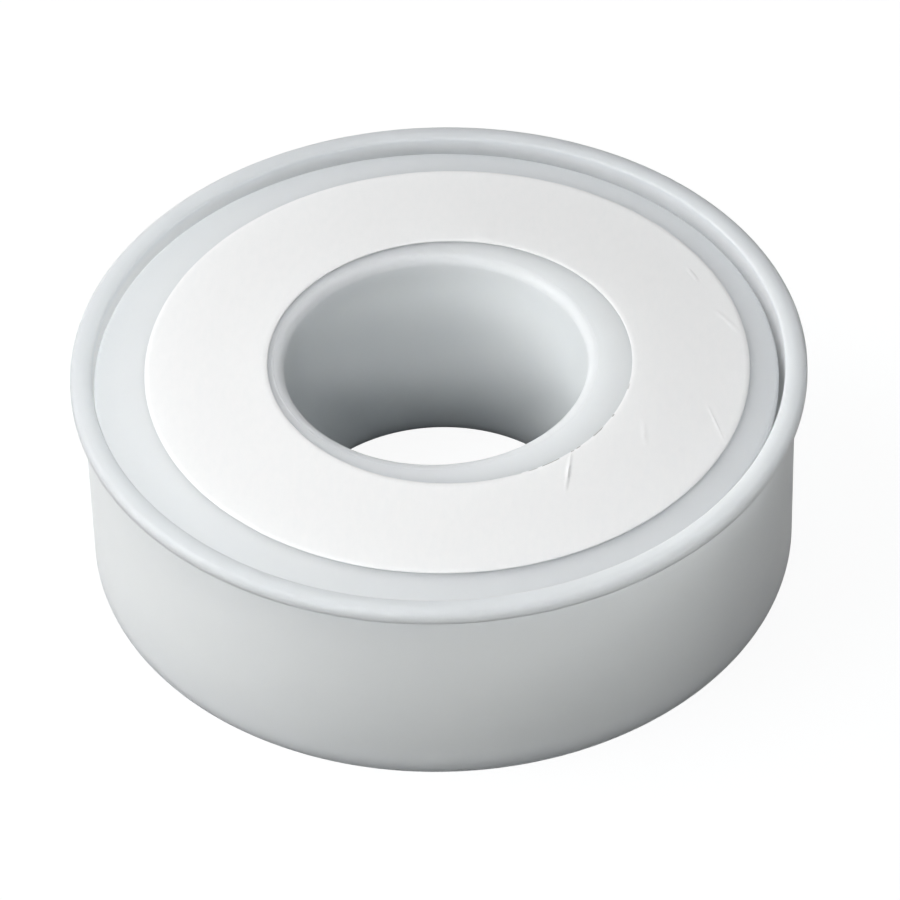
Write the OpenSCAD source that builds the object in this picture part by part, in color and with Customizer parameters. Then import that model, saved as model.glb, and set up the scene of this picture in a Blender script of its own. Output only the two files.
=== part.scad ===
// Thread seal tape roll: a moulded cover, a spool with a dished flange, the wound tape and a ring label.
// Millimetres, +Z up, standing on the cover's base, with the cover's axis on Z. The case is sized by its tape:
// the roll's diameter follows from the length and thickness wound on, and the cover from the roll.

/* [Tape] */
// Width of the tape
tape_w = 12; // [8:0.5:25]
// Thickness of the tape
tape_t = 0.075; // [0.05:0.005:0.2]
// Length of the tape on the roll
tape_len = 12000; // [5000:500:20000]

/* [Spool] */
// Diameter of the through bore
bore_d = 20.6; // [14:0.1:30]
// Wall thickness of the hub
hub_t = 1.2; // [0.8:0.05:2.5]
// Thickness of the flange
flange_t = 0.9; // [0.6:0.1:1.6]
// Height that the flange's face rises from its edge to the hub
flange_rise = 1.2; // [0.6:0.1:2]
// Radius of the bore's rounded mouth
mouth_r = 0.6; // [0.3:0.05:0.9]
// Radius of the flange's outer edges
flange_edge_r = 0.25; // [0.1:0.05:0.3]
// Fillet between the flange and the hub
hub_fillet = 0.6; // [0.2:0.1:0.8]
// Chamfer on the hub's lower end
hub_chamfer = 0.3; // [0.1:0.05:0.5]
// Height of the hub's lower end above the base
hub_end_z = 0.2; // [0:0.05:0.3]

/* [Cover] */
// Room round the tape, out to the side wall
tape_room = 2.95; // [1:0.05:8]
// Thickness of the side wall
wall_t = 0.7; // [0.6:0.1:1.6]
// How much smaller the wall is at the base than under the rim, on the radius
wall_draft = 0.1; // [0:0.05:0.5]
// Thickness of the bottom web
web_t = 1; // [0.6:0.1:2]
// Depth of the recess under the web
base_recess = 0.35; // [0.1:0.05:0.6]
// Width of the rings that the cover stands on, at its edge and round the hub's hole
foot_w = 1.5; // [0.8:0.1:3]
// Radius of the rounded corner at the base
base_r = 0.8; // [0.3:0.1:1.1]
// Fillet inside, between the web and the side wall
inner_fillet = 0.5; // [0.2:0.1:1]
// Height of the rim's crest above the flange's edge
rim_rise = 1.2; // [0.6:0.1:2.5]
// Height of the rim's bead
rim_h = 1; // [0.8:0.1:2]
// How far the rim stands out past the wall
rim_out = 0.8; // [0.4:0.05:1.5]
// Radius of the rim's outer edge
rim_r = 0.42; // [0.2:0.02:0.5]
// Radius of the rim's lower edge, the rest of its overhang being a cove to the wall
rim_low_r = 0.25; // [0.1:0.05:0.3]
// Radius of the rim's inner edge
rim_in_r = 0.15; // [0.1:0.05:0.4]
// Chamfer that leads the hub into the web's hole
hole_chamfer = 0.25; // [0.1:0.05:0.5]

/* [Label] */
// Bare border of the flange outside the label
label_border = 2.7; // [1:0.1:5]
// Bare ring between the label's hole and the bore's mouth
label_inset = 1.4; // [1.3:0.05:4]
// Thickness of the label's paper
label_t = 0.09; // [0.06:0.01:0.3]
// How far the label was stuck to the right of the spool's axis
label_dx = 0.75; // [-0.75:0.05:0.75]
// How far the label was stuck to the back of the spool's axis
label_dy = 0.3; // [-0.4:0.05:0.4]
// How far its hole was punched to the right of the label's middle
hole_dx = 0.2; // [-0.25:0.05:0.25]
// How far its hole was punched to the back of the label's middle
hole_dy = -0.35; // [-0.35:0.05:0.35]

/* [Fits] */
// Radial play of the spool in the cover, at the hub and at the flange
spool_play = 0.25; // [0.15:0.01:0.6]
// Gap that is left where the spool lies to one side of its play
seat_gap = 0.04; // [0.03:0.01:0.12]
// Side that the spool lies to, in degrees from the right
seat_side = 149; // [0:1:360]
// Gap between the tape and the hub
tape_hub_gap = 0.12; // [0.05:0.01:0.4]
// Gap between the tape and the web under it
tape_web_gap = 0.4; // [0.1:0.05:0.6]
// Gap between the tape's top edge and the flange
tape_flange_gap = 0.2; // [0.1:0.05:0.6]
// Film of glue under the label
glue_t = 0.02; // [0.01:0.01:0.05]

/* [Hidden] */
$fn = 96;

// Radii, from the bore outwards
bore_R = bore_d/2;
hub_R = bore_R + hub_t;
web_hole_R = hub_R + spool_play;
tape_in_R = hub_R + tape_hub_gap;
tape_R = sqrt(tape_in_R*tape_in_R + tape_len*tape_t/PI);
cover_in_R = tape_R + tape_room;
cover_base_in_R = cover_in_R - wall_draft;
wall_R = cover_in_R + wall_t;
wall_base_R = cover_base_in_R + wall_t;
rim_R = wall_R + rim_out;
cove_r = rim_out - rim_low_r;
flange_R = cover_in_R - spool_play;

// Heights, from the base upwards
web_top = base_recess + web_t;
tape_z = web_top + tape_web_gap;
flange_slope = flange_rise/(flange_R - hub_R);
flange_a = atan(flange_slope);
flange_dz = flange_t/cos(flange_a);
flange_z = tape_z + tape_w + tape_flange_gap + flange_dz - (flange_R - tape_R)*flange_slope;
cover_h = flange_z + rim_rise;
rim_z = cover_h - rim_h;

// Height of the flange's face and of its underside at a radius from the spool's axis
function face_z(r) = flange_z + (flange_R - r)*flange_slope;
function under_z(r) = face_z(r) - flange_dz;

// How far a rounding crosses the sloping line that it touches, so that the two meet in one clean edge
cross = 0.002;
// Centres of the roundings that touch the flange's sloping face or underside, and how far along they touch it
mouth_x = bore_R + mouth_r;
mouth_z = face_z(mouth_x) - mouth_r/cos(flange_a) + cross;
mouth_end = mouth_x + mouth_r*sin(flange_a);
edge_x = flange_R - flange_edge_r;
edge_top_z = face_z(edge_x) - flange_edge_r/cos(flange_a) + cross;
edge_low_z = under_z(edge_x) + flange_edge_r/cos(flange_a) - cross;
edge_touch = flange_edge_r*sin(flange_a);
// The fillet stays above the tape
fillet_r = min(hub_fillet, (under_z(hub_R) - tape_z - tape_w)/2);
fillet_x = hub_R + fillet_r - cross;
fillet_z = under_z(fillet_x) - fillet_r/cos(flange_a) + cross;
fillet_end = fillet_x + fillet_r*sin(flange_a);

// Where the spool lies in its play
spool_shift = spool_play - seat_gap;
// Longer than any piece, for cuts that run right through
far = 4*(rim_R + cover_h);

// What a rounding takes off a square corner that points to +x +y
module corner_cut(r) {
    difference() {
        translate([-r, -r]) square(2*r);
        translate([-r, -r]) circle(r);
    }
}

// Puts the children on the spool's axis
module at_spool() {
    translate(spool_shift*[cos(seat_side), sin(seat_side), 0]) children();
}

// Half section of the cover, x = radius
module cover_section() {
    recess_in_R = web_hole_R + foot_w;
    recess_R = wall_base_R - base_r - foot_w;
    difference() {
        polygon([
            [web_hole_R, 0], [wall_base_R, 0], [wall_base_R, base_r], [wall_R, rim_z - cove_r],
            [wall_R + cove_r, rim_z], [rim_R, rim_z], [rim_R, cover_h], [cover_in_R, cover_h], [cover_in_R, rim_z],
            [cover_base_in_R, web_top + inner_fillet], [cover_base_in_R - inner_fillet, web_top],
            [web_hole_R + hole_chamfer, web_top], [web_hole_R, web_top - hole_chamfer]
        ]);
        // Fillet between the web and the wall
        translate([cover_base_in_R - inner_fillet, web_top + inner_fillet]) circle(inner_fillet);
        // Cove between the wall and the rim
        translate([wall_R + cove_r, rim_z - cove_r]) circle(cove_r);
        // Rounded edges of the rim and the base
        translate([rim_R, cover_h]) corner_cut(rim_r);
        translate([rim_R, rim_z]) mirror([0, 1]) corner_cut(rim_low_r);
        translate([cover_in_R, cover_h]) mirror([1, 0]) corner_cut(rim_in_r);
        translate([wall_base_R, 0]) mirror([0, 1]) corner_cut(base_r);
        // Recess between the two rings that the cover stands on
        translate([recess_in_R, -base_recess]) square([recess_R - recess_in_R, 2*base_recess]);
    }
}

module cover() {
    color("gainsboro") rotate_extrude() cover_section();
}

// Half section of the spool, x = radius
module spool_section() {
    difference() {
        union() {
            polygon([
                [bore_R, hub_end_z], [hub_R - hub_chamfer, hub_end_z], [hub_R, hub_end_z + hub_chamfer],
                [hub_R, fillet_z], [fillet_end, under_z(fillet_end)],
                [edge_x - edge_touch, under_z(edge_x - edge_touch)], [flange_R, edge_low_z],
                [flange_R, edge_top_z], [edge_x + edge_touch, face_z(edge_x + edge_touch)],
                [mouth_end, face_z(mouth_end)], [mouth_x, mouth_z], [bore_R, mouth_z]
            ]);
            // Rounded edges of the flange
            translate([edge_x, edge_top_z]) circle(flange_edge_r);
            translate([edge_x, edge_low_z]) circle(flange_edge_r);
            // Rounded mouth of the bore
            intersection() {
                translate([mouth_x, mouth_z]) circle(mouth_r);
                translate([bore_R, mouth_z]) square([2*mouth_r, mouth_r]);
            }
        }
        // Fillet between the hub and the flange
        translate([fillet_x, fillet_z]) circle(fillet_r);
    }
}

module spool() {
    color("whitesmoke") at_spool() rotate_extrude() spool_section();
}

// The roll winds as a spiral: each half turn has its own centre and radius, so that the outside grows by one
// thickness in a turn and the tape's end leaves a step
module tape() {
    color("white") at_spool() translate([0, 0, tape_z]) difference() {
        union() {
            intersection() {
                cylinder(r = tape_R - tape_t, h = tape_w);
                translate([0, -far/2, 0]) cube([far, far, tape_w]);
            }
            intersection() {
                translate([0, tape_t/2, 0]) cylinder(r = tape_R - tape_t/2, h = tape_w);
                translate([-far, -far/2, 0]) cube([far, far, tape_w]);
            }
        }
        translate([0, 0, -tape_w]) cylinder(r = tape_in_R, h = 3*tape_w);
    }
}

// The label follows the flange's face and is cut as a ring off the spool's axis
module label() {
    low = glue_t;
    top = glue_t + label_t;
    color("ivory") at_spool() intersection() {
        rotate_extrude() polygon([
            [bore_R, face_z(bore_R) + low], [flange_R, face_z(flange_R) + low],
            [flange_R, face_z(flange_R) + top], [bore_R, face_z(bore_R) + top]
        ]);
        translate([label_dx, label_dy, 0]) difference() {
            cylinder(r = flange_R - label_border, h = far);
            translate([hole_dx, hole_dy, -far]) cylinder(r = mouth_end + label_inset, h = 3*far);
        }
    }
}

cover();
spool();
tape();
label();
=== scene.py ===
import math

import bpy
from mathutils import Matrix, Vector


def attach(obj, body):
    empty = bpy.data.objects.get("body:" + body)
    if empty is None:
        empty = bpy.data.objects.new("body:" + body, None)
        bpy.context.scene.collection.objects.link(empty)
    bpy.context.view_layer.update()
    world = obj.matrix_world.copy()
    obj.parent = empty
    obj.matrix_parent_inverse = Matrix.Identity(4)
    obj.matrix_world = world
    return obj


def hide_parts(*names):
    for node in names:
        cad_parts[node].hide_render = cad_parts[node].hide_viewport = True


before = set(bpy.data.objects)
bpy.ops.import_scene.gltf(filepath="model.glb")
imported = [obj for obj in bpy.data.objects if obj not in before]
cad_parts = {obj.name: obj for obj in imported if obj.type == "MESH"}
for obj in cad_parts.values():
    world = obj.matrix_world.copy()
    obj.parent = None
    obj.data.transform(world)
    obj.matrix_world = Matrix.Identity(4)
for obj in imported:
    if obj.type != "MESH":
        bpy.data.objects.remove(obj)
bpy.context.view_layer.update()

# Camera: a long lens about half a metre away, looking down on the roll from the front,
# with the slight lean that the photograph has.
mm = 0.001
camera_aim = Vector((0.615, 0, 7.535)) * mm
camera_away = 480 * mm
camera_down = math.radians(42.304)
camera_lean = math.radians(-1.58)
bpy.ops.object.camera_add()
camera = bpy.context.object
camera.name = "camera"
camera.data.sensor_width = 36
camera.data.lens = 280.23
turn = Matrix.Rotation(math.pi / 2 - camera_down, 4, "X") @ Matrix.Rotation(camera_lean, 4, "Z")
camera.matrix_world = Matrix.Translation(camera_aim) @ turn @ Matrix.Translation((0, 0, camera_away))
bpy.context.scene.camera = camera

# Spool: one moulding of natural polypropylene, a hub tube with a dished flange at its top. Its half
# section is drawn and turned round the axis, as the mould's core and cavity were, and it lies to one
# side of its play in the cover. Sizes are in mm.
spool_axis = Vector((-0.180005, 0.108158, 0)) * mm
bore_radius = 10.3
hub_radius = 11.5
hub_foot = 0.2
hub_chamfer = 0.3
hub_fillet = 0.56
flange_radius = 23.231
flange_edge = 14.579
flange_rise = 1.2
flange_thick = 0.9
flange_edge_round = 0.25
flange_slope = flange_rise / (flange_radius - hub_radius)
mouth_round = 0.6
bead_inside = 10.97
bead_radius = 11.04
bead_outside = 11.12
bead_height = 0.025


def face_height(radius):
    """Height of the flange's upper face at a radius from the spool's axis, in mm."""
    return flange_edge + (flange_radius - radius) * flange_slope


def under_height(radius):
    """Height of the flange's underside at a radius from the spool's axis, in mm."""
    return face_height(radius) - flange_thick / math.cos(math.atan(flange_slope))


def pick(piece, wanted):
    """Selects the vertices of a piece whose place is wanted, and leaves it in edit mode."""
    bpy.ops.object.mode_set(mode="EDIT")
    bpy.ops.mesh.select_mode(type="VERT")
    bpy.ops.mesh.select_all(action="DESELECT")
    bpy.ops.object.mode_set(mode="OBJECT")
    for vertex in piece.data.vertices:
        vertex.select = wanted(vertex.co)
    bpy.ops.object.mode_set(mode="EDIT")


def point_at(name, place):
    """Starts a piece as one vertex at a place, and leaves it in edit mode."""
    bpy.ops.object.select_all(action="DESELECT")
    bpy.ops.mesh.primitive_plane_add(size=mm)
    piece = bpy.context.object
    piece.name = name
    bpy.ops.object.mode_set(mode="EDIT")
    bpy.ops.mesh.select_all(action="SELECT")
    bpy.ops.mesh.merge(type="CENTER")
    bpy.ops.transform.translate(value=place)
    return piece


def turned(name, axis, section, steps=256):
    """Draws a half section of (radius, height, rounding) in mm, rounds its corners and spins it."""
    corners = [Vector((axis.x + radius * mm, axis.y, height * mm)) for radius, height, rounding in section]
    piece = point_at(name, corners[0])
    for here, there in zip(corners, corners[1:] + corners[:1]):
        bpy.ops.mesh.extrude_region_move(TRANSFORM_OT_translate={"value": there - here})
    bpy.ops.mesh.select_all(action="SELECT")
    bpy.ops.mesh.remove_doubles(threshold=1e-7)
    for number, corner in enumerate(corners):
        rounding = section[number][2] * mm
        if rounding == 0:
            continue
        back = (corners[number - 1] - corner).normalized()
        ahead = (corners[(number + 1) % len(corners)] - corner).normalized()
        pick(piece, lambda place: (place - corner).length < 2e-7)
        bpy.ops.mesh.bevel(offset=rounding / math.tan(back.angle(ahead) / 2), offset_type="OFFSET",
                           segments=10, profile=0.5, affect="VERTICES")
    bpy.ops.mesh.select_all(action="SELECT")
    bpy.ops.mesh.spin(steps=steps, angle=2 * math.pi, center=axis, axis=(0, 0, 1))
    bpy.ops.mesh.select_all(action="SELECT")
    bpy.ops.mesh.remove_doubles(threshold=1e-6)
    bpy.ops.mesh.normals_make_consistent(inside=False)
    bpy.ops.object.mode_set(mode="OBJECT")
    return piece


def modify(piece, name, kind, **settings):
    """Gives the active piece a modifier with its settings, and applies it."""
    modifier = piece.modifiers.new(name, kind)
    for setting, value in settings.items():
        setattr(modifier, setting, value)
    bpy.ops.object.modifier_apply(modifier=modifier.name)


def finish_shading(piece, sharpest):
    """Shades a piece smooth up to an angle, with the flat faces kept flat."""
    bpy.ops.object.select_all(action="DESELECT")
    piece.select_set(True)
    bpy.context.view_layer.objects.active = piece
    bpy.ops.object.shade_smooth_by_angle(angle=math.radians(sharpest))
    modify(piece, "keep_flat", "WEIGHTED_NORMAL", keep_sharp=True)


spool = turned("spool_moulding", spool_axis, [
    (bore_radius, hub_foot, 0.1),
    (hub_radius - hub_chamfer, hub_foot, 0.08),
    (hub_radius, hub_foot + hub_chamfer, 0.08),
    (hub_radius, under_height(hub_radius), hub_fillet),
    (flange_radius, under_height(flange_radius), flange_edge_round),
    (flange_radius, face_height(flange_radius), flange_edge_round),
    (bead_outside, face_height(bead_outside), 0.04),
    (bead_radius, face_height(bead_radius) + bead_height, 0.03),
    (bead_inside, face_height(bead_inside), 0),
    (bore_radius, face_height(bore_radius), mouth_round),
])
finish_shading(spool, 40)


def colour(code):
    """Linear colour of an sRGB hex code."""
    parts = [int(code[at:at + 2], 16) / 255 for at in (1, 3, 5)]
    return tuple(p / 12.92 if p < 0.04045 else ((p + 0.055) / 1.055) ** 2.4 for p in parts) + (1.0,)


def node(tree, kind, sockets=(), **settings):
    """Adds a node with its settings, and sets or links its sockets."""
    made = tree.nodes.new(kind)
    for name, value in settings.items():
        setattr(made, name, value)
    for name, value in dict(sockets).items():
        if isinstance(value, bpy.types.NodeSocket):
            tree.links.new(value, made.inputs[name])
        else:
            made.inputs[name].default_value = value
    return made


def start_material(name):
    """A new material, its node tree, its shader and the coordinates that lie still on the piece."""
    material = bpy.data.materials.new(name)
    material.use_nodes = True
    tree = material.node_tree
    return material, tree, tree.nodes["Principled BSDF"], node(tree, "ShaderNodeTexCoord").outputs["Object"]


def set_shader(shader, values):
    """Sets what is the same all over the surface on the shader's own sockets."""
    for name, value in values.items():
        shader.inputs[name].default_value = value


def polypropylene(name, pale, deep):
    """Natural polypropylene, moulded: milky and translucent, so that light enters, spreads for some
    millimetres and comes out again, under a satin skin with a fine grain and faint clouds from the melt's
    flow. A thin wall lets part of the light through, so the transparent shader is there for rays from lamps
    and, less, from the room."""
    material, tree, shader, place = start_material(name)
    clouds = node(tree, "ShaderNodeTexNoise", {"Vector": place, "Scale": 1 / (7 * mm), "Detail": 3.0})
    tone = node(tree, "ShaderNodeMix", {0: clouds.outputs["Fac"], 6: colour(deep), 7: colour(pale)},
                data_type="RGBA")
    tree.links.new(tone.outputs[2], shader.inputs["Base Color"])
    rubbed = node(tree, "ShaderNodeTexNoise", {"Vector": place, "Scale": 1 / (2.5 * mm), "Detail": 5.0})
    satin = node(tree, "ShaderNodeMapRange",
                 {"Value": rubbed.outputs["Fac"], "To Min": 0.36, "To Max": 0.52})
    tree.links.new(satin.outputs[0], shader.inputs["Roughness"])
    grain = node(tree, "ShaderNodeTexNoise", {"Vector": place, "Scale": 1 / (0.3 * mm), "Detail": 2.0})
    skin = node(tree, "ShaderNodeBump",
                {"Height": grain.outputs["Fac"], "Strength": 0.12, "Distance": 0.02 * mm})
    tree.links.new(skin.outputs[0], shader.inputs["Normal"])
    set_shader(shader, {"IOR": 1.49, "Specular IOR Level": 0.15, "Subsurface Weight": 1.0,
                        "Subsurface Radius": (1.0, 1.0, 0.95), "Subsurface Scale": 5 * mm})
    lamp_share = 0.9
    room_share = 0.55
    ray = node(tree, "ShaderNodeLightPath").outputs
    lamps = node(tree, "ShaderNodeMath", {0: ray["Is Shadow Ray"], 1: lamp_share}, operation="MULTIPLY")
    room = node(tree, "ShaderNodeMath", {0: ray["Is Diffuse Ray"], 1: room_share}, operation="MULTIPLY")
    passed = node(tree, "ShaderNodeMath", {0: lamps.outputs[0], 1: room.outputs[0]}, operation="MAXIMUM")
    clear = node(tree, "ShaderNodeBsdfTransparent")
    wall = node(tree, "ShaderNodeMixShader",
                {0: passed.outputs[0], 1: shader.outputs[0], 2: clear.outputs[0]})
    tree.links.new(wall.outputs[0], tree.nodes["Material Output"].inputs["Surface"])
    return material


spool.data.materials.append(polypropylene("polypropylene_natural_spool", "#e9eff2", "#e2e9ed"))
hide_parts("spool")
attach(spool, "spool")

# Tape: a 12 mm strip of soft white film, wound about 120 times round the hub. The turns never lie quite
# level, so the ends of the roll show uneven rings, and the last turns and the strip's end show outside.
tape_inside = 11.62
tape_outside = 20.531
tape_low = 1.75
tape_high = 13.75
film = 0.075
rings = 44
ring_width = (tape_outside - 2 * film - tape_inside) / rings
ring_depth = 0.07


def unevenness(number):
    """A fixed uneven sequence from 0 to 1."""
    return math.modf(abs(math.sin(number * 12.9898 + 4.1) * 43758.5453))[0]


low_rings = []
high_rings = []
for number in range(rings + 1):
    at = tape_inside + number * ring_width
    low_rings.append((at, tape_low + ring_depth * unevenness(number), 0))
    high_rings.append((at, tape_high - ring_depth * unevenness(number + 200), 0))
roll = turned("wound_tape", spool_axis, low_rings + high_rings[::-1], 192)

# The outer turns are one strip that grows by a film's thickness in each turn. Its end stands off a little.
turn_start = tape_outside - 2.6 * film
turn_steps = 120
strip_steps = 2 * turn_steps + 52
loose_steps = 5
loose_grow = 0.0009
strip_margin = 0.05
strip_rows = 6
outer_turns = point_at("outer_turns", spool_axis + Vector((turn_start, 0, tape_low + strip_margin)) * mm)
strip_row = (tape_high - tape_low - 2 * strip_margin) / strip_rows
for number in range(strip_rows):
    bpy.ops.mesh.extrude_region_move(TRANSFORM_OT_translate={"value": Vector((0, 0, strip_row)) * mm})
bpy.ops.mesh.select_all(action="SELECT")
for number in range(strip_steps):
    grow = 1 + film / turn_steps / turn_start
    if number >= strip_steps - loose_steps:
        grow += loose_grow
    bpy.ops.mesh.extrude_region_move()
    bpy.ops.transform.rotate(value=2 * math.pi / turn_steps, orient_axis="Z", center_override=spool_axis)
    bpy.ops.transform.resize(value=(grow, grow, 1), center_override=spool_axis)
bpy.ops.mesh.select_all(action="SELECT")
bpy.ops.mesh.remove_doubles(threshold=1e-7)
bpy.ops.mesh.normals_make_consistent(inside=False)
bpy.ops.object.mode_set(mode="OBJECT")
film_creases = bpy.data.textures.new("film_creases", "CLOUDS")
film_creases.noise_scale = 3 * mm
modify(outer_turns, "ripple", "DISPLACE", texture=film_creases, strength=0.05 * mm)
modify(outer_turns, "strip", "SOLIDIFY", thickness=0.06 * mm, offset=0)
roll.select_set(True)
bpy.context.view_layer.objects.active = roll
bpy.ops.object.join()
finish_shading(roll, 50)


def thread_seal_film(name):
    """Unsintered PTFE film: very white and soft, dull with a faint waxy sheen, drawn lengthwise by rollers."""
    material, tree, shader, place = start_material(name)
    squeezed = node(tree, "ShaderNodeMapping", {"Vector": place, "Scale": (1, 1, 12)})
    drawn = node(tree, "ShaderNodeTexNoise",
                 {"Vector": squeezed.outputs[0], "Scale": 1 / (2.5 * mm), "Detail": 4.0})
    tone = node(tree, "ShaderNodeMix",
                {0: drawn.outputs["Fac"], 6: colour("#efefec"), 7: colour("#fafaf8")}, data_type="RGBA")
    tree.links.new(tone.outputs[2], shader.inputs["Base Color"])
    skin = node(tree, "ShaderNodeBump",
                {"Height": drawn.outputs["Fac"], "Strength": 0.25, "Distance": 0.05 * mm})
    tree.links.new(skin.outputs[0], shader.inputs["Normal"])
    set_shader(shader, {"Roughness": 0.55, "IOR": 1.36, "Subsurface Weight": 0.6,
                        "Subsurface Radius": (1.0, 1.0, 1.0), "Subsurface Scale": 0.4 * mm})
    return material


roll.data.materials.append(thread_seal_film("ptfe_film_unsintered"))
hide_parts("tape")
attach(roll, "tape")

# Cover: the outer case, one moulding of the same polypropylene. A low cup with a thin side wall, a crowned
# rim that stands out past the wall, and a web below with a hole for the hub; it stands on two rings.
cover_axis = Vector((0, 0, 0))
hole_radius = 11.75
hole_chamfer = 0.25
inner_foot_radius = 13.25
outer_foot_radius = 21.78
foot_round = 0.12
base_radius = 24.081
base_recess = 0.35
base_round = 0.8
inside_radius = 23.481
wall_radius = 24.183
wall_draft = 0.1
web_high = 1.35
web_fillet = 0.5
rim_radius = 24.981
rim_low = 14.779
rim_top = 15.779
rim_cove = 0.55
rim_low_round = 0.25
rim_round = 0.42
rim_inner_round = 0.18
crown_radius = 24.15
crown_fall = 0.05
crown_round = 2.0
cover = turned("cover_moulding", cover_axis, [
    (hole_radius, 0, 0.1),
    (inner_foot_radius, 0, foot_round),
    (inner_foot_radius, base_recess, foot_round),
    (outer_foot_radius, base_recess, foot_round),
    (outer_foot_radius, 0, foot_round),
    (base_radius, 0, base_round),
    (wall_radius, rim_low, rim_cove),
    (rim_radius, rim_low, rim_low_round),
    (rim_radius, rim_top - crown_fall, rim_round),
    (crown_radius, rim_top, crown_round),
    (inside_radius, rim_top - crown_fall, rim_inner_round),
    (inside_radius, rim_low, 0),
    (inside_radius - wall_draft, web_high, web_fillet),
    (hole_radius + hole_chamfer, web_high, 0),
    (hole_radius, web_high - hole_chamfer, 0),
])
finish_shading(cover, 40)
cover_plastic = polypropylene("polypropylene_natural_cover", "#ecf1f3", "#e6ecef")
cover.data.materials.append(cover_plastic)

# Painted shade: the cover's colour is greyed from 15 mm up, on the rim, because no white roll stands behind it
# there to throw light back through the plastic as it does on the wall lower down.
tree = cover_plastic.node_tree
shader = tree.nodes["Principled BSDF"]
place = node(tree, "ShaderNodeTexCoord").outputs["Object"]
height = node(tree, "ShaderNodeSeparateXYZ", {0: place}).outputs["Z"]
rim_shade_mask = node(tree, "ShaderNodeMapRange", {"Value": height, "From Min": 15 * mm, "From Max": 15.6 * mm})
wall_tone = shader.inputs["Base Color"].links[0].from_socket
rim_painted_shade = node(tree, "ShaderNodeMix", {0: rim_shade_mask.outputs[0], 6: wall_tone, 7: colour("#e0e9ee")},
              data_type="RGBA")
tree.links.new(rim_painted_shade.outputs[2], shader.inputs["Base Color"])
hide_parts("cover")
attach(cover, "cover")

# Label: a plain ring punched from smooth white label paper and stuck on the flange by hand, a little to the
# right and the back of the axis, with its hole punched off its middle. It follows the flange's slope, its
# punched edges are pressed down, and handling has left creases in it.
label_place = spool_axis + Vector((0.75, 0.3, 25)) * mm
hole_place = label_place + Vector((0.2, -0.35, 0)) * mm
label_radius = 20.531
label_hole = 12.361
paper = 0.08
glue = 0.005
cut_edge = 0.07
label_loops = 26
bpy.ops.object.select_all(action="DESELECT")
bpy.ops.mesh.primitive_circle_add(vertices=320, radius=label_radius * mm, location=label_place)
label = bpy.context.object
label.name = "ring_label"
bpy.ops.object.transform_apply(location=True, rotation=True, scale=True)
bpy.ops.object.mode_set(mode="EDIT")
bpy.ops.mesh.select_all(action="SELECT")
edge_share = cut_edge / (label_radius - label_hole)
shares = [edge_share + (1 - 2 * edge_share) * number / label_loops for number in range(label_loops + 1)]
for here, there in zip([0] + shares, shares + [1]):
    now = label_radius + (label_hole - label_radius) * here
    then = label_radius + (label_hole - label_radius) * there
    middle = label_place.lerp(hole_place, here)
    bpy.ops.mesh.extrude_region_move()
    bpy.ops.transform.resize(value=(then / now, then / now, 1), center_override=middle)
    bpy.ops.transform.translate(value=(hole_place - label_place) * (there - here))
bpy.ops.mesh.select_all(action="SELECT")
bpy.ops.mesh.normals_make_consistent(inside=False)
bpy.ops.object.mode_set(mode="OBJECT")
modify(label, "stuck", "SHRINKWRAP", wrap_method="PROJECT", use_project_z=True, use_negative_direction=True,
       use_positive_direction=False, target=spool, offset=glue * mm)
paper_cockles = bpy.data.textures.new("paper_cockles", "CLOUDS")
paper_cockles.noise_scale = 4 * mm
modify(label, "wavy", "DISPLACE", texture=paper_cockles, direction="Z", mid_level=0, strength=0.02 * mm)


def crease(start, end, width, rise):
    """Cuts a crease into the label from start to end, in mm, and raises its middle."""
    start = Vector(start).to_3d() * mm
    along = Vector(end).to_3d() * mm - start
    across = along.cross(Vector((0, 0, 1))).normalized()
    for side in (-1, -0.5, 0, 0.5, 1):
        bpy.ops.object.mode_set(mode="EDIT")
        bpy.ops.mesh.select_mode(type="FACE")
        bpy.ops.mesh.select_all(action="DESELECT")
        bpy.ops.object.mode_set(mode="OBJECT")
        for face in label.data.polygons:
            share = (face.center - start).dot(along) / along.length_squared
            face.select = 0 < share < 1 and abs((face.center - start).dot(across)) < (width + 0.3) * mm
        bpy.ops.object.mode_set(mode="EDIT")
        bpy.ops.mesh.bisect(plane_co=start + across * side * width * mm, plane_no=across, threshold=1e-7)
    for inset in (0.02, 0.3):
        for reach in (0.02, 0.52):
            pick(label, lambda place: inset < (place - start).dot(along) / along.length_squared < 1 - inset
                 and abs((place - start).dot(across)) < reach * width * mm)
            bpy.ops.transform.translate(value=(0, 0, rise / 4 * mm))
    bpy.ops.object.mode_set(mode="OBJECT")


crease((8.66, -9.69), (8.17, -13.12), 0.13, 0.085)
crease((18.96, 5.21), (19.69, 4.34), 0.25, 0.06)
crease((19.69, 4.34), (20.45, 3.07), 0.25, 0.06)
crease((17.27, 9.77), (17.96, 8.27), 0.2, 0.05)
crease((18.05, -4.68), (18.97, -8.02), 0.1, 0.04)
crease((13.62, -6.1), (13.65, -8.7), 0.25, 0.05)
modify(label, "sheet", "SOLIDIFY", thickness=paper * mm, offset=1)


def on_cut_edge(place):
    """True for the upper corner of the label's outer edge and of its hole's edge."""
    outside = (place - label_place).xy.length > (label_radius - 0.01) * mm
    inside = (place - hole_place).xy.length < (label_hole + 0.01) * mm
    paper_middle = face_height((place - spool_axis).xy.length / mm) + glue + paper / 2
    return (outside or inside) and place.z > paper_middle * mm


pick(label, on_cut_edge)
bpy.ops.transform.translate(value=(0, 0, -0.5 * paper * mm))

# The hole's edge has come up at one spot at the back, and the outer edge is nicked at one in front.
lifted_spot = Vector((3.44, 12.9)) * mm
pick(label, lambda place: (place.xy - lifted_spot).length < 0.6 * mm)
bpy.ops.transform.translate(value=(0, 0, 0.05 * mm))
nicked_spot = Vector((14.37, -15.81)) * mm
pick(label, lambda place: (place.xy - nicked_spot).length < 0.4 * mm)
bpy.ops.transform.translate(value=(-0.06 * mm, 0.07 * mm, 0.02 * mm))
bpy.ops.object.mode_set(mode="OBJECT")
finish_shading(label, 50)


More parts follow.
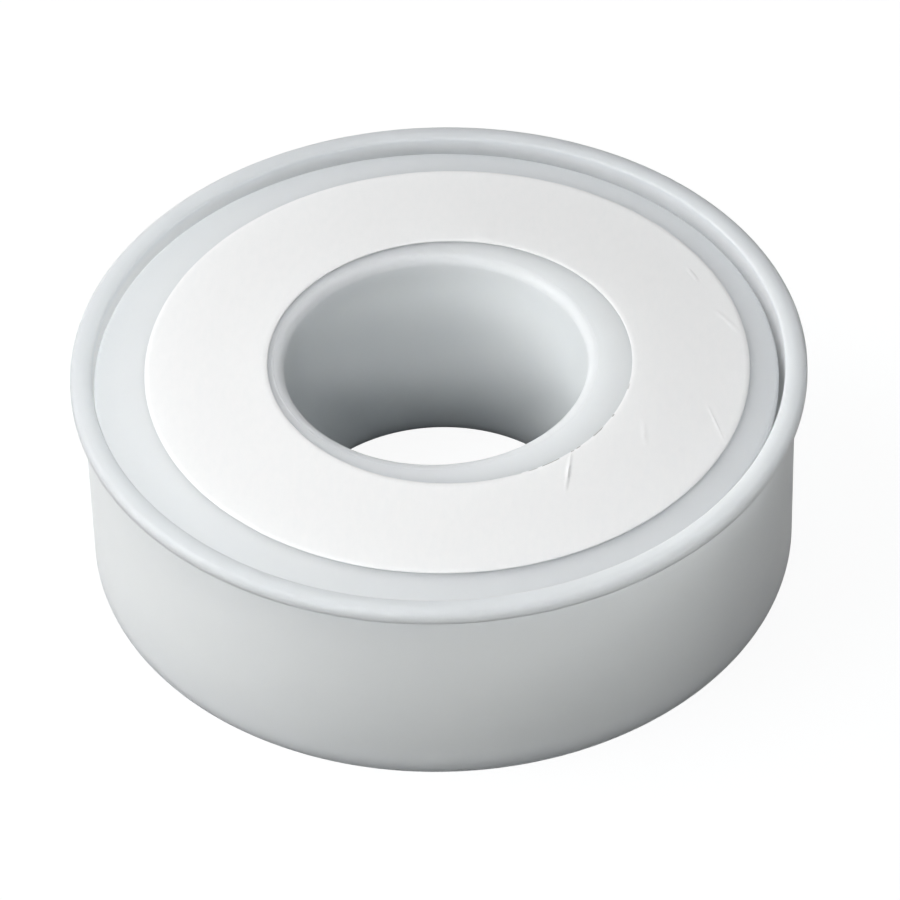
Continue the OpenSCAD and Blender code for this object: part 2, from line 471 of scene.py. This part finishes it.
def label_paper(name):
    """Coated label paper: white and smooth, with the faint mottle of its fibres, which lie along the web, and
    a dull sheen. Short dark dashes are painted along the near side of the hole's edge."""
    material, tree, shader, place = start_material(name)
    drawn = node(tree, "ShaderNodeMapping", {"Vector": place, "Scale": (1, 0.3, 1)})
    fibres = node(tree, "ShaderNodeTexNoise",
                  {"Vector": drawn.outputs[0], "Scale": 1 / (0.4 * mm), "Detail": 5.0})
    tone = node(tree, "ShaderNodeMix",
                {0: fibres.outputs["Fac"], 6: colour("#f4f7f8"), 7: colour("#fdfefe")}, data_type="RGBA")
    from_hole = node(tree, "ShaderNodeVectorMath", {0: place, 1: hole_place}, operation="SUBTRACT")
    flat = node(tree, "ShaderNodeVectorMath", {0: from_hole.outputs[0], 1: (1, 1, 0)}, operation="MULTIPLY")
    radius = node(tree, "ShaderNodeVectorMath", {0: flat.outputs[0]}, operation="LENGTH")
    edge = node(tree, "ShaderNodeMapRange",
                {"Value": radius.outputs["Value"], "From Min": (label_hole + 0.04) * mm,
                 "From Max": (label_hole + 0.12) * mm, "To Min": 1.0, "To Max": 0.0})
    near = node(tree, "ShaderNodeVectorMath", {0: flat.outputs[0], 1: (0.75, -0.66, 0)},
                operation="DOT_PRODUCT")
    side = node(tree, "ShaderNodeMapRange",
                {"Value": near.outputs["Value"], "From Min": 10.6 * mm, "From Max": 11.6 * mm})
    specks = node(tree, "ShaderNodeTexNoise", {"Vector": place, "Scale": 1 / (0.9 * mm), "Detail": 1.0})
    dashes = node(tree, "ShaderNodeMapRange",
                  {"Value": specks.outputs["Fac"], "From Min": 0.52, "From Max": 0.58})
    # Short dark dashes painted along the near side of the hole's edge.
    dash_mask = node(tree, "ShaderNodeMath", {0: edge.outputs[0], 1: side.outputs[0]}, operation="MULTIPLY")
    dash_mask = node(tree, "ShaderNodeMath", {0: dash_mask.outputs[0], 1: dashes.outputs[0]}, operation="MULTIPLY")
    dashed_tone = node(tree, "ShaderNodeMix", {0: dash_mask.outputs[0], 6: tone.outputs[2], 7: colour("#8b8a86")},
                data_type="RGBA")
    tree.links.new(dashed_tone.outputs[2], shader.inputs["Base Color"])
    skin = node(tree, "ShaderNodeBump",
                {"Height": fibres.outputs["Fac"], "Strength": 0.3, "Distance": 0.02 * mm})
    tree.links.new(skin.outputs[0], shader.inputs["Normal"])
    set_shader(shader, {"Roughness": 0.6, "IOR": 1.5, "Specular IOR Level": 0.3, "Subsurface Weight": 0.8,
                        "Subsurface Radius": (1.0, 1.0, 1.0), "Subsurface Scale": 0.15 * mm})
    return material


label.data.materials.append(label_paper("label_paper_coated"))
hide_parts("label")
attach(label, "spool")

# Floor: a plain pale table top that the camera sees as white, and that keeps the roll's soft shadow.
bpy.ops.object.select_all(action="DESELECT")
bpy.ops.mesh.primitive_plane_add(size=4)
floor = bpy.context.object
floor.name = "floor"
table_top = bpy.data.materials.new("table_top_pale")
table_top.use_nodes = True
tree = table_top.node_tree
tree.nodes.remove(tree.nodes["Principled BSDF"])


def seen_ray(tree):
    """1 for a ray by which the camera sees, straight, in a gloss or through a clear piece, and else 0."""
    ray = node(tree, "ShaderNodeLightPath").outputs
    seen = node(tree, "ShaderNodeMath", {0: ray["Is Camera Ray"], 1: ray["Is Glossy Ray"]},
                operation="MAXIMUM")
    seen = node(tree, "ShaderNodeMath", {0: seen.outputs[0], 1: ray["Is Transmission Ray"]},
                operation="MAXIMUM")
    return seen.outputs[0]


level = node(tree, "ShaderNodeMath", {0: seen_ray(tree), 1: 0.92}, operation="MULTIPLY")
white = node(tree, "ShaderNodeEmission", {"Color": colour("#ffffff"), "Strength": level.outputs[0]})
top = node(tree, "ShaderNodeBsdfDiffuse", {"Color": colour("#5c5f60")})
both = node(tree, "ShaderNodeAddShader", {0: white.outputs[0], 1: top.outputs[0]})
tree.links.new(both.outputs[0], tree.nodes["Material Output"].inputs["Surface"])
floor.data.materials.append(table_top)

# Studio: a large soft box on the left, two weak strip boxes in front, one above the other, a weak box high
# at the back, and dim even light from the room, which the camera sees as white.
world = bpy.data.worlds.new("studio")
bpy.context.scene.world = world
world.use_nodes = True
tree = world.node_tree
room = tree.nodes["Background"]
room.inputs["Color"].default_value = colour("#ffffff")
level = node(tree, "ShaderNodeMapRange", {"Value": seen_ray(tree), "To Min": 0.2, "To Max": 1.0})
tree.links.new(level.outputs[0], room.inputs["Strength"])


def soft_box(name, place, aim, width, height, power, spread):
    """A lamp of a width and height at a place, facing a point, all in mm, with its light kept within a
    spread in degrees."""
    bpy.ops.object.light_add(type="AREA")
    lamp = bpy.context.object
    lamp.name = name
    lamp.data.shape = "RECTANGLE"
    lamp.data.size = width * mm
    lamp.data.size_y = height * mm
    lamp.data.energy = power
    lamp.data.spread = math.radians(spread)
    facing = (Vector(place) - Vector(aim)).to_track_quat("Z", "Y").to_matrix().to_4x4()
    lamp.matrix_world = Matrix.Translation(Vector(place) * mm) @ facing


soft_box("soft_box_left", (-394, -20, 320), (0, 0, 12), 400, 400, 2.36, 180)
soft_box("strip_box_front_high", (5, -133, 79), (0, -9, 12.6), 100, 26, 0.0022, 19)
soft_box("strip_box_front_low", (5, -150, 45), (0, -9, 13.5), 100, 26, 0.0013, 19)
soft_box("soft_box_back", (-21, 118, 341), (0, 0, 12), 200, 200, 0.22, 180)

bpy.context.scene.view_settings.view_transform = "Standard"
